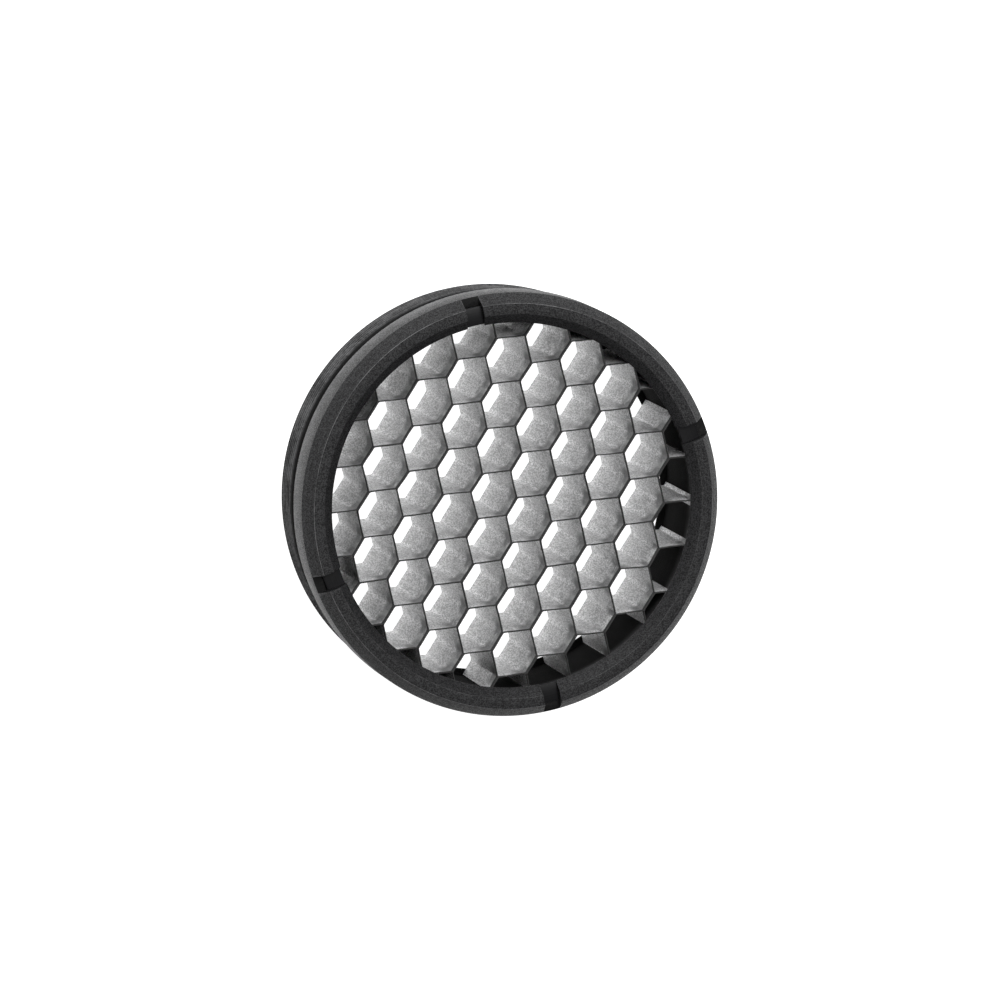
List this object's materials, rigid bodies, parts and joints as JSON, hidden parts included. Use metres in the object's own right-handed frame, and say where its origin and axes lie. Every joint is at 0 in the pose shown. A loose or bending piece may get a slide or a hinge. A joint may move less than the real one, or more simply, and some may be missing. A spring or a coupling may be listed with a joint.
{
  "type": "honeycomb grid",
  "caption": "Round screw-in honeycomb grid: a threaded black tube holds a disc of expanded aluminium cells under a bevelled, slotted front ring.",
  "frame": {"origin": "centre of the rear face, on the optical axis", "axes": "+Z along the optical axis out of the slotted front face; +Y towards one of the four spanner slots"},
  "size_m": [0.059, 0.059, 0.0181],
  "materials": {
    "ring_anodise": "fine bead-blasted, matte black anodised",
    "body_anodise": "turned, matte black anodised",
    "foil": "satin rolled foil, cut edges dark",
    "washer_acetal": "black acetal, matte",
    "seal_rubber": "black rubber, slightly glossy"
  },
  "bodies": {
    "body": {"rear_body": "body_anodise", "grip_seal": "seal_rubber", "foil_ribbon_01": "foil", "foil_ribbon_02": "foil", "foil_ribbon_03": "foil", "foil_ribbon_04": "foil", "foil_ribbon_05": "foil", "foil_ribbon_06": "foil", "foil_ribbon_07": "foil", "foil_ribbon_08": "foil", "foil_ribbon_09": "foil", "foil_ribbon_10": "foil", "foil_ribbon_11": "foil", "foil_ribbon_12": "foil", "foil_ribbon_13": "foil", "foil_ribbon_14": "foil", "foil_ribbon_15": "foil", "foil_ribbon_16": "foil", "foil_ribbon_17": "foil", "foil_ribbon_18": "foil"},
    "washer": {"slip_washer": "washer_acetal"},
    "ring": {"front_ring": "ring_anodise"}
  },
  "joints": [
    {"name": "ring_lift", "type": "slide", "parent": "body", "child": "washer", "axis": [0, 0, 1], "range_m": [0, 0.00525]},
    {"name": "ring_turn", "type": "hinge", "parent": "washer", "child": "ring", "pos_m": [0, 0, 0.0165], "axis": [0, 0, 1], "range_deg": [0, 2520]}
  ],
  "couplings": [
    {"joint": "ring_lift", "follows": "ring_turn", "m_per_rad": 0.00011937}
  ]
}
